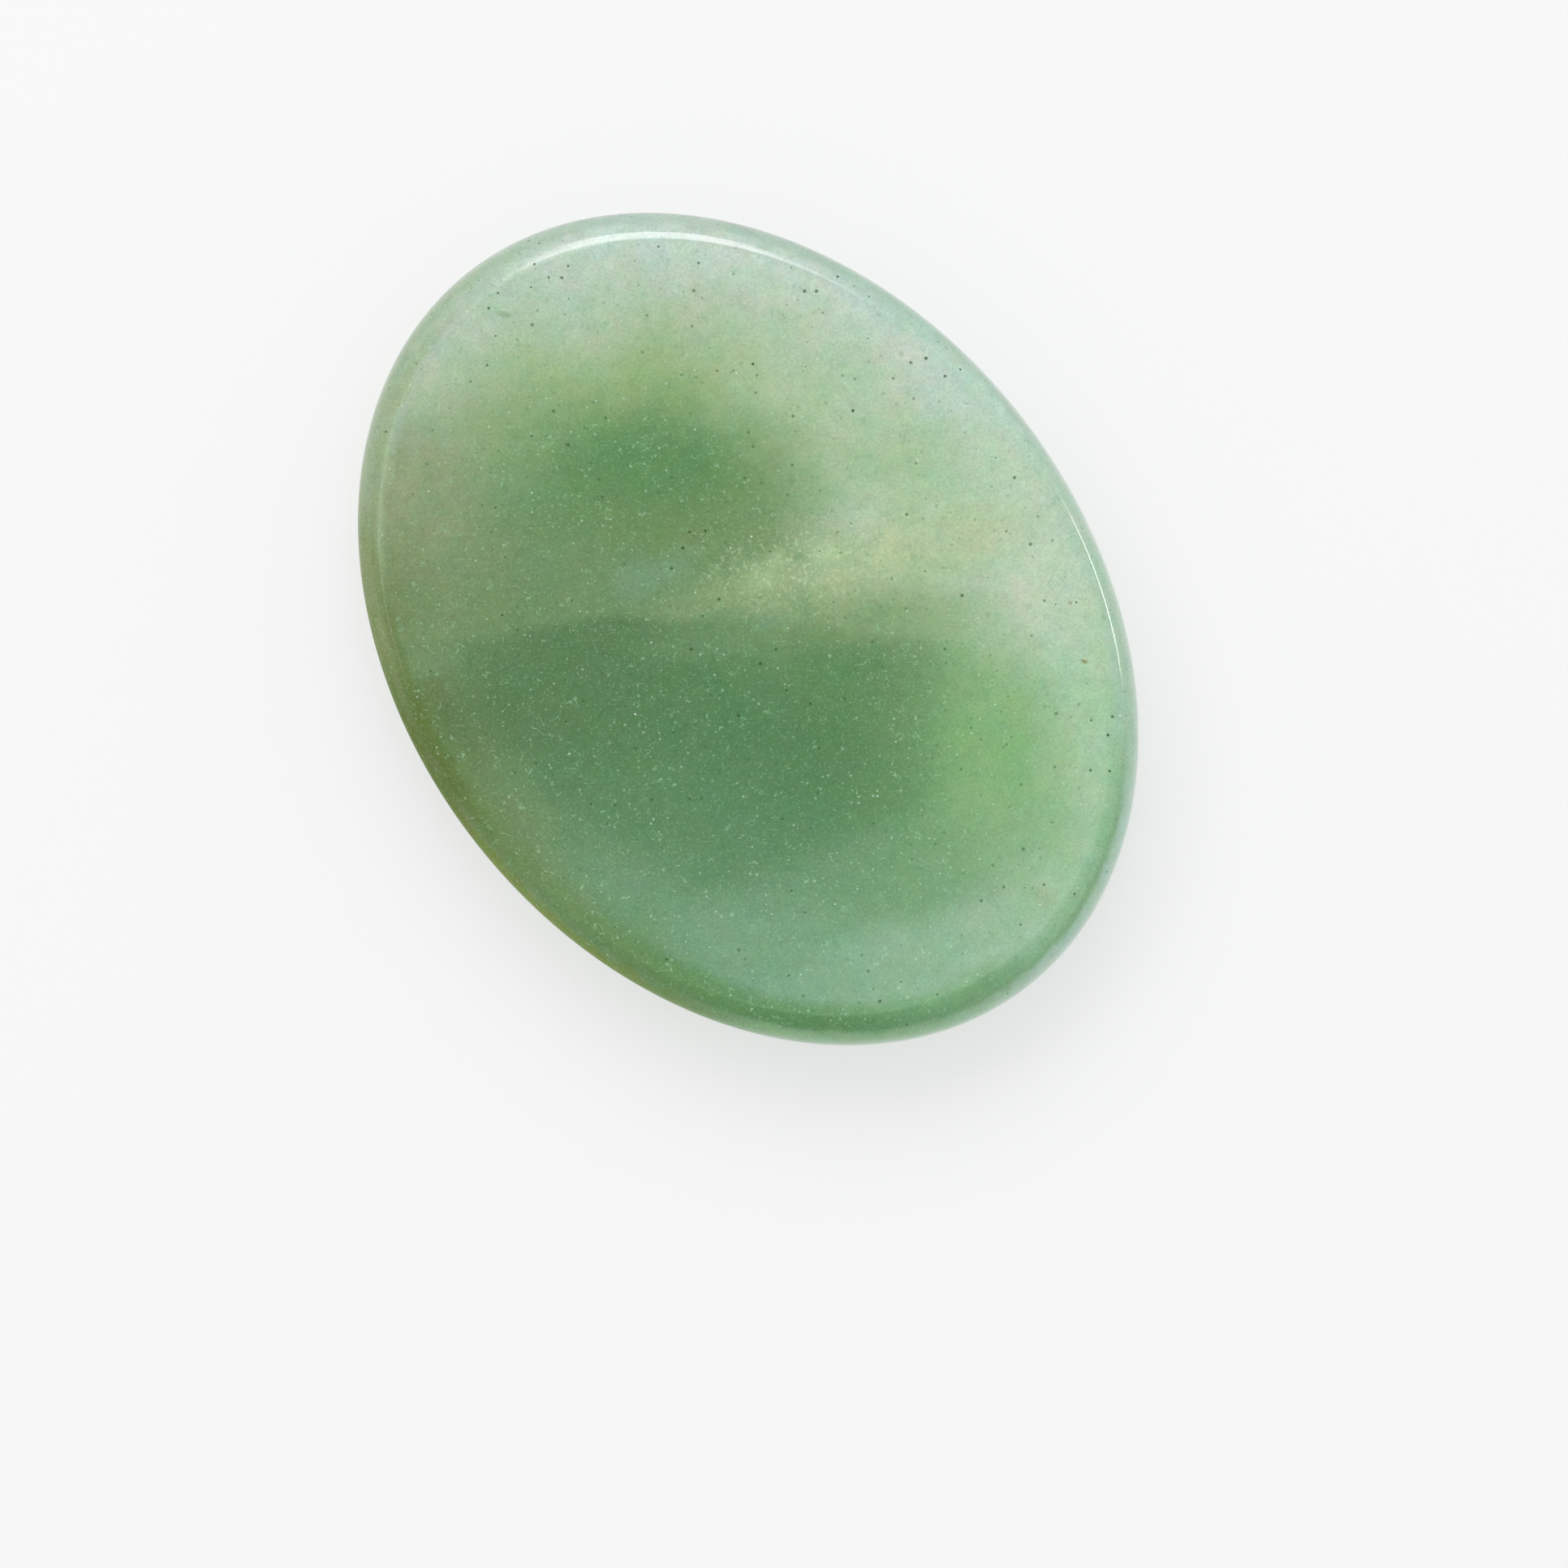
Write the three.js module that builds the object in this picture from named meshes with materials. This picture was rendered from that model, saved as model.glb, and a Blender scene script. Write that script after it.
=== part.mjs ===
// A green aventurine palm stone: one polished oval of translucent quartz, lying on its back.
// The face is a shallow thumb dish that runs out to a crisp rim crest. The side is rounded, and the
// back is a low dome, ground flat on a small spot so that the stone lies still.
//
// Units are millimetres. X runs along the stone, Y across it and Z up, with the dish on top.
// The origin is the middle of the flat spot.

import * as THREE from 'three';
import { mergeVertices } from 'three/addons/utils/BufferGeometryUtils.js';

// Driving dimensions
const LENGTH = 54;
const WIDTH = 41.2;
const THICKNESS = 8; // from the flat spot to the rim crest
const DISH_DEPTH = 2.2; // from the rim crest down to the middle of the dish
const RIM_INSET = 1.35; // from the outline in to the rim crest, at the long sides
const END_INSET = 2.1; // the same at the two ends, where the rim is broader
const CREST_RADIUS = 0.2; // how softly the dish turns over into the side
const CREST_FALL = THREE.MathUtils.degToRad(12); // slope at which the crest hands over to the side
const SIDE_FULLNESS = 0.5; // at the widest line: 0 would be a flat bevel and 1 a square edge
const SHOULDER_FULLNESS = 0.7; // the same at the crest, where the side starts out flatter
const GIRTH_HEIGHT = 4.5; // height of the widest line
const REST_WIDTH = 12; // the flat spot, across the stone

// Facets
const STEPS_AROUND = 80;
const DISH_STEPS = 9;
const CREST_STEPS = 4;
const SIDE_STEPS = 8;
const BACK_STEPS = 8;

// Sizes that follow from the driving dimensions
const halfWidth = WIDTH / 2;
const crestAt = halfWidth - RIM_INSET;
const restAt = REST_WIDTH / 2;
const outlineStretch = (LENGTH - WIDTH) / 2;
const crestStretch = outlineStretch - (END_INSET - RIM_INSET);

// The section across the stone, drawn from the flat spot out round the edge and back in to the middle
// of the dish. x is the distance from the middle and y is the height.
function section() {
  const middleOfSpot = new THREE.Vector2(0, 0);
  const girth = new THREE.Vector2(halfWidth, GIRTH_HEIGHT);
  const middleOfDish = new THREE.Vector2(0, THICKNESS - DISH_DEPTH);
  const dishRise = Math.atan((2 * DISH_DEPTH) / crestAt);

  // A point on the crest's arc, where the surface slopes by the given angle.
  const onCrest = (slope) => new THREE.Vector2(
    crestAt + CREST_RADIUS * Math.sin(slope),
    THICKNESS - CREST_RADIUS * (1 - Math.cos(slope)),
  );
  const sideTop = onCrest(CREST_FALL);
  const dishEdge = onCrest(-dishRise);

  const back = new THREE.EllipseCurve(
    restAt, GIRTH_HEIGHT, halfWidth - restAt, GIRTH_HEIGHT, -Math.PI / 2, 0,
  );
  const shoulder = new THREE.Vector2(
    halfWidth,
    sideTop.y - (halfWidth - sideTop.x) * Math.tan(CREST_FALL),
  );
  const side = new THREE.CubicBezierCurve(
    girth,
    girth.clone().lerp(shoulder, SIDE_FULLNESS),
    sideTop.clone().lerp(shoulder, SHOULDER_FULLNESS),
    sideTop,
  );
  const crest = new THREE.EllipseCurve(
    crestAt, THICKNESS - CREST_RADIUS, CREST_RADIUS, CREST_RADIUS,
    Math.PI / 2 - CREST_FALL, Math.PI / 2 + dishRise,
  );
  const dishBend = new THREE.Vector2(
    dishEdge.x - (dishEdge.y - middleOfDish.y) / Math.tan(dishRise),
    middleOfDish.y,
  );
  const dish = new THREE.QuadraticBezierCurve(dishEdge, dishBend, middleOfDish);

  // Each curve starts where the one before it ends, so its first point is left out.
  const curves = [[back, BACK_STEPS], [side, SIDE_STEPS], [crest, CREST_STEPS], [dish, DISH_STEPS]];
  const points = [middleOfSpot, back.getPoint(0)];
  for (const [curve, steps] of curves) {
    points.push(...curve.getPoints(steps).slice(1));
  }
  points[points.length - 1].setX(0);
  return points;
}

// Turns the section into a round stone and draws that out along X into the oval. Inside the rim crest
// the dish is drawn out in proportion. From the crest to the outline it moves out a little further, so
// the rim grows broader towards the two ends.
function ovalStone() {
  const turned = new THREE.LatheGeometry(section(), STEPS_AROUND);
  turned.rotateX(Math.PI / 2);
  turned.deleteAttribute('normal');
  turned.deleteAttribute('uv');

  const place = turned.attributes.position;
  for (let i = 0; i < place.count; i += 1) {
    const fromMiddle = Math.hypot(place.getX(i), place.getY(i));
    const stretch = THREE.MathUtils.mapLinear(
      Math.max(fromMiddle, crestAt), crestAt, halfWidth, crestStretch, outlineStretch,
    );
    place.setX(i, place.getX(i) * (1 + stretch / Math.max(fromMiddle, crestAt)));
  }
  const stone = mergeVertices(turned);
  stone.computeVertexNormals();
  return stone;
}

const aventurine = new THREE.MeshStandardMaterial({
  name: 'polished green aventurine',
  color: new THREE.Color(0.55, 0.69, 0.53),
  roughness: 0.12,
  metalness: 0,
});

const palmStone = new THREE.Mesh(ovalStone(), aventurine);
palmStone.name = 'palm_stone';

const object = new THREE.Group();
object.add(palmStone);

export default object;
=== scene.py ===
# The looks of a green aventurine palm stone: the polished stone itself, a pale floor, soft light and
# a camera straight above. Blender's lengths are metres. The sizes named here are millimetres, in the
# stone's own frame: X along the oval, Y across it, Z up out of the thumb dish.

import math
from typing import NamedTuple

import bpy
from mathutils import Matrix, Quaternion, Vector


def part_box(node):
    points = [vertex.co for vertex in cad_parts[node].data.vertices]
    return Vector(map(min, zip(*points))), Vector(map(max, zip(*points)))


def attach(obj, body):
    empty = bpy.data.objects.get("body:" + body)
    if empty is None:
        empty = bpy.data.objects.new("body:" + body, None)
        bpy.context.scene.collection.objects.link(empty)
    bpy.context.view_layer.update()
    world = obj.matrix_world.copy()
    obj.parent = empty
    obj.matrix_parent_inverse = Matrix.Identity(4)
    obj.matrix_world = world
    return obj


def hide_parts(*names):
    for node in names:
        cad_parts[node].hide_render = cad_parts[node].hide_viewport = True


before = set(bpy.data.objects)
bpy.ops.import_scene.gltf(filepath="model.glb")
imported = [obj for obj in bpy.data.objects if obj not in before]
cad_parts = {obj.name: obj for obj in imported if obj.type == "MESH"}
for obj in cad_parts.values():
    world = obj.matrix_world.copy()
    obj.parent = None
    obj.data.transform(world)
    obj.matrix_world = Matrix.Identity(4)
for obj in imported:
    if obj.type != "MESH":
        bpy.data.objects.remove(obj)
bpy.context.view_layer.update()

MM = 0.001

# The stone's form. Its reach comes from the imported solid, and the rest repeats the section's sizes.
low_corner, high_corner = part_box("palm_stone")
LENGTH = (high_corner.x - low_corner.x) / MM
WIDTH = (high_corner.y - low_corner.y) / MM
THICKNESS = (high_corner.z - low_corner.z) / MM
DISH_DEPTH = 2.2
RIM_INSET = 1.35
END_INSET = 2.1
CREST_RADIUS = 0.2
CREST_FALL = math.radians(12)
SIDE_FULLNESS = 0.5
SHOULDER_FULLNESS = 0.7
GIRTH_HEIGHT = 4.5
REST_WIDTH = 12

# The view. The camera looks straight down, turned so that the stone lies askew as it is seen.
FRAME_PIXELS = 1932
PIXELS_PER_MM = 20.7
ROLL = math.radians(52.06)
STONE_SEEN_AT = Vector((922.1, 775.3))
LENS = 150
SENSOR = 36

# Fineness of the mesh: steps around the stone, and along each curve of its section
STEPS_AROUND = 840
SPOT_STEPS = 4
BACK_STEPS = 20
SIDE_STEPS = 22
CREST_STEPS = 6
DISH_STEPS = 30
MERGE_WITHIN = 1e-7  # metres


def seen(across, up, height=0.0):
    """A place given in millimetres right of and above the stone's middle, as the camera sees it."""
    place = Matrix.Rotation(ROLL, 3, "Z") @ Vector((across, up, 0))
    return Vector((place.x, place.y, height)) * MM


# Helpers for node trees

def link(tree, source, target):
    tree.links.new(source, target)


def add(tree, kind, **values):
    """A new node. A keyword sets the node's own property, or else the input of that name."""
    node = tree.nodes.new(kind)
    for name, value in values.items():
        if hasattr(node, name):
            setattr(node, name, value)
        else:
            node.inputs[name.replace("_", " ")].default_value = value
    return node


# The stone's section, from the middle of the flat spot out round the edge to the middle of the dish

def bezier(points, steps):
    """Points along a Bezier curve through the first and last of the given points, without the first."""
    degree = len(points) - 1
    found = []
    for i in range(1, steps + 1):
        t = i / steps
        weights = [math.comb(degree, k) * t**k * (1 - t) ** (degree - k) for k in range(degree + 1)]
        found.append(sum((w * p for w, p in zip(weights, points)), Vector((0, 0))))
    return found


def arc(centre, radii, start, end, steps):
    """Points along an elliptical arc, without the first."""
    found = []
    for i in range(1, steps + 1):
        angle = start + (end - start) * i / steps
        found.append(centre + Vector((radii[0] * math.cos(angle), radii[1] * math.sin(angle))))
    return found


def section():
    half_width = WIDTH / 2
    crest_at = half_width - RIM_INSET
    rest_at = REST_WIDTH / 2
    crest_centre = Vector((crest_at, THICKNESS - CREST_RADIUS))
    dish_rise = math.atan(2 * DISH_DEPTH / crest_at)
    middle_of_dish = Vector((0, THICKNESS - DISH_DEPTH))
    girth = Vector((half_width, GIRTH_HEIGHT))

    def on_crest(slope):
        return crest_centre + CREST_RADIUS * Vector((math.sin(slope), math.cos(slope)))

    side_top = on_crest(CREST_FALL)
    dish_edge = on_crest(-dish_rise)
    shoulder = Vector((half_width, side_top.y - (half_width - side_top.x) * math.tan(CREST_FALL)))
    dish_bend_at = dish_edge.x - (dish_edge.y - middle_of_dish.y) / math.tan(dish_rise)
    dish_bend = Vector((dish_bend_at, middle_of_dish.y))
    back_centre = Vector((rest_at, GIRTH_HEIGHT))
    back_radii = (half_width - rest_at, GIRTH_HEIGHT)
    crest_radii = (CREST_RADIUS, CREST_RADIUS)
    side_points = [
        girth,
        girth.lerp(shoulder, SIDE_FULLNESS),
        side_top.lerp(shoulder, SHOULDER_FULLNESS),
        side_top,
    ]

    points = [Vector((0, 0))]
    points += bezier([Vector((0, 0)), Vector((rest_at, 0))], SPOT_STEPS)
    points += arc(back_centre, back_radii, -math.pi / 2, 0, BACK_STEPS)
    points += bezier(side_points, SIDE_STEPS)
    points += arc(crest_centre, crest_radii, math.pi / 2 - CREST_FALL, math.pi / 2 + dish_rise, CREST_STEPS)
    points += bezier([dish_edge, dish_bend, middle_of_dish], DISH_STEPS)
    return points


def section_line():
    """The section as a line of vertices, for the node tree to read."""
    mesh = bpy.data.meshes.new("stone_section")
    points = [(p.x * MM, 0, p.y * MM) for p in section()]
    mesh.from_pydata(points, [(i, i + 1) for i in range(len(points) - 1)], [])
    line = bpy.data.objects.new("stone_section", mesh)
    bpy.context.scene.collection.objects.link(line)
    return line


def turned_oval(material):
    """A node tree that turns a section about Z and draws it out along X into an oval stone."""
    tree = bpy.data.node_groups.new("turned oval", "GeometryNodeTree")
    socket = {}
    for name, kind, value in (
        ("Section", "NodeSocketObject", None),
        ("Steps Around", "NodeSocketInt", STEPS_AROUND),
        ("Outline Reach", "NodeSocketFloat", WIDTH / 2 * MM),
        ("Outline Stretch", "NodeSocketFloat", (LENGTH - WIDTH) / 2 * MM),
        ("Crest Reach", "NodeSocketFloat", (WIDTH / 2 - RIM_INSET) * MM),
        ("Crest Stretch", "NodeSocketFloat", ((LENGTH - WIDTH) / 2 - END_INSET + RIM_INSET) * MM),
    ):
        made = tree.interface.new_socket(name, in_out="INPUT", socket_type=kind)
        if value is not None:
            made.default_value = value
        socket[name] = made.identifier
    tree.interface.new_socket("Stone", in_out="OUTPUT", socket_type="NodeSocketGeometry")
    given = add(tree, "NodeGroupInput")
    out = add(tree, "NodeGroupOutput")

    def math_node(operation, *values):
        node = add(tree, "ShaderNodeMath", operation=operation)
        for i, value in enumerate(values):
            if isinstance(value, (int, float)):
                node.inputs[i].default_value = value
            else:
                link(tree, value, node.inputs[i])
        return node.outputs[0]

    section_info = add(tree, "GeometryNodeObjectInfo")
    link(tree, given.outputs["Section"], section_info.inputs["Object"])
    count = add(tree, "GeometryNodeAttributeDomainSize")
    link(tree, section_info.outputs["Geometry"], count.inputs["Geometry"])

    # A flat sheet with a column for each step around, and a row for each point of the section
    columns = math_node("ADD", given.outputs["Steps Around"], 1)
    sheet = add(tree, "GeometryNodeMeshGrid")
    link(tree, count.outputs["Point Count"], sheet.inputs["Vertices X"])
    link(tree, columns, sheet.inputs["Vertices Y"])
    index = add(tree, "GeometryNodeInputIndex").outputs[0]
    row = math_node("FLOOR", math_node("DIVIDE", index, columns))
    column = math_node("SUBTRACT", index, math_node("MULTIPLY", row, columns))
    angle = math_node("MULTIPLY", math_node("DIVIDE", column, given.outputs["Steps Around"]), math.tau)

    place = add(tree, "GeometryNodeSampleIndex", data_type="FLOAT_VECTOR")
    link(tree, section_info.outputs["Geometry"], place.inputs["Geometry"])
    link(tree, add(tree, "GeometryNodeInputPosition").outputs[0], place.inputs["Value"])
    link(tree, row, place.inputs["Index"])
    parts = add(tree, "ShaderNodeSeparateXYZ")
    link(tree, place.outputs[0], parts.inputs[0])
    out_from_middle = parts.outputs["X"]
    height = parts.outputs["Z"]

    # The rim grows broader towards the two ends, so the outline is drawn out further than the crest.
    stretch = add(tree, "ShaderNodeMapRange")
    for value, name in (
        (out_from_middle, "Value"),
        (given.outputs["Crest Reach"], "From Min"),
        (given.outputs["Outline Reach"], "From Max"),
        (given.outputs["Crest Stretch"], "To Min"),
        (given.outputs["Outline Stretch"], "To Max"),
    ):
        link(tree, value, stretch.inputs[name])
    reach = math_node("MAXIMUM", out_from_middle, given.outputs["Crest Reach"])
    drawn_out = math_node("DIVIDE", stretch.outputs[0], reach)
    long_reach = math_node("MULTIPLY", out_from_middle, math_node("ADD", drawn_out, 1))
    along = math_node("MULTIPLY", long_reach, math_node("COSINE", angle))
    across = math_node("MULTIPLY", out_from_middle, math_node("SINE", angle))
    point = add(tree, "ShaderNodeCombineXYZ")
    for value, name in ((along, "X"), (across, "Y"), (height, "Z")):
        link(tree, value, point.inputs[name])

    turned = add(tree, "GeometryNodeSetPosition")
    link(tree, sheet.outputs["Mesh"], turned.inputs["Geometry"])
    link(tree, point.outputs[0], turned.inputs["Position"])
    closed = add(tree, "GeometryNodeMergeByDistance", Distance=MERGE_WITHIN)
    link(tree, turned.outputs[0], closed.inputs[0])
    smooth = add(tree, "GeometryNodeSetShadeSmooth")
    link(tree, closed.outputs[0], smooth.inputs[0])
    real = add(tree, "GeometryNodeRealizeInstances")
    link(tree, smooth.outputs[0], real.inputs[0])
    finished = add(tree, "GeometryNodeSetMaterial", Material=material)
    link(tree, real.outputs[0], finished.inputs[0])
    link(tree, finished.outputs[0], out.inputs[0])
    return tree, socket


def make_stone(material):
    tree, socket = turned_oval(material)
    line = section_line()
    holder = bpy.data.objects.new("stone_form", bpy.data.meshes.new("stone_form"))
    bpy.context.scene.collection.objects.link(holder)
    modifier = holder.modifiers.new("turned oval", "NODES")
    modifier.node_group = tree
    modifier[socket["Section"]] = line
    depsgraph = bpy.context.evaluated_depsgraph_get()
    mesh = bpy.data.meshes.new_from_object(holder.evaluated_get(depsgraph))
    bpy.data.objects.remove(holder)
    bpy.data.objects.remove(line)
    mesh.name = "polished_palm_stone"
    stone = bpy.data.objects.new("polished_palm_stone", mesh)
    bpy.context.scene.collection.objects.link(stone)
    return stone


# The stone's finish. Places on it are millimetres right of and above its middle, as the camera sees
# it. Tints are display values from 0 to 255, as they look in the studio's light.

LIT = 0.87  # the light that a white stone would send back
HAZE = 0.03  # the light that the polish adds to any tint

MILK = (201, 217, 206)
COOL_MILK = (200, 217, 210)
WARM_MILK = (166, 190, 158)
CREAM = (165, 183, 132)
OLIVE = (150, 177, 126)
MOSS = (124, 148, 94)
GREY_OLIVE = (146, 159, 122)
SAGE = (112, 142, 100)
LEAF = (98, 140, 92)
BOTTLE = (88, 129, 88)
GREY_BOTTLE = (92, 126, 86)
DEEP_OLIVE = (97, 117, 74)
LIME = (131, 174, 118)
FERN = (116, 160, 108)
SEA = (116, 155, 121)
LOW_SEA = (98, 138, 103)
WARM_SAGE = (112, 132, 90)
MILKY_PAINTED_SHEEN = (156, 192, 166)
LIGHT_OLIVE = (146, 178, 130)
DEEP_SEA = (110, 152, 117)
PALE_GREEN = (168, 197, 156)
SOFT_MILK = (174, 197, 168)
UNDERSIDE = (118, 141, 94)
COOL_UNDERSIDE = (97, 140, 101)
BELOW_STREAK = (122, 151, 104)
UPPER_BOTTLE = (98, 136, 91)
RIGHT_FERN = (127, 158, 108)
RIGHT_WARM = (170, 193, 156)
UPPER_OLIVE = (138, 166, 120)
RIM_SHADE_GREEN = (128, 168, 131)
RIM_MILK = (182, 200, 180)
UPPER_FERN = (150, 186, 140)
LEFT_SHADE = (92, 119, 79)
EDGE_HAZE = (127, 158, 117)
LEFT_DEEP = (114, 134, 90)
LEFT_MIDDLE = (112, 138, 94)
UPPER_LIGHT = (178, 202, 172)
UPPER_COOL = (184, 206, 186)
LOW_DEEP = (104, 140, 98)
RIGHT_SHADE = (108, 151, 104)
LIGHT_FERN = (138, 176, 136)
PALE_LIME = (163, 197, 161)
SPOT_BLUE = (124, 160, 134)
CLOT = (182, 202, 160)
CRUMB = (196, 210, 168)
SPOT_TEAL = (118, 160, 128)
SMUDGE = (146, 158, 118)
RUST = (104, 88, 44)
OCHRE = (136, 118, 56)
WARM_PEARL = (196, 209, 191)
SUGAR = (152, 194, 154)
PINE = (62, 92, 52)
FROST = (206, 228, 208)
GLINT_WHITE = (240, 250, 242)


class Edge(NamedTuple):
    on_edge: tuple
    facing: float
    softness: float


class Cloud(NamedTuple):
    name: str
    middle: tuple
    half_size: tuple
    turn: float
    softness: float
    strength: float
    tint: tuple
    edges: tuple = ()


class Fleck(NamedTuple):
    name: str
    offset: tuple
    spacing: float
    radius: float
    softness: float
    kept: float
    strength: float
    tint: tuple


class Band(NamedTuple):
    name: str
    inset: float
    half_width: float
    softness: float
    facing: float
    reach: float
    strength: float
    tint: tuple


class Pattern(NamedTuple):
    scale: float
    detail: float
    roughness: float
    offset: tuple
    start: float = 0.0
    end: float = 1.0
    smooth: bool = True


class Toning(NamedTuple):
    name: str
    pattern: Pattern
    low: tuple
    high: tuple


SHADE_TOP_LEFT = Edge((-11.7, 0.35), -77.5, 0.5)
SHADE_TOP = Edge((-2, 0.55), -93, 0.5)
SHADE_TOP_RIGHT = Edge((4, 0.5), -98, 0.9)
PATCH_TOP = Edge((-19, -2.8), -90, 0.4)
SHADE_LEFT = Edge((-12.4, -10.4), 31, 1.2)
STREAK_LOW = Edge((0, 0.7), 90, 0.5)

# Clouds of tint, laid one over another. The deep green clouds, the lower shade with its clear edges among
# them, are partly the stone's own colour and partly painted shade, cast through the translucent stone from
# behind. The cool veils and the cool pale fields low down are partly painted reflection.
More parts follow.
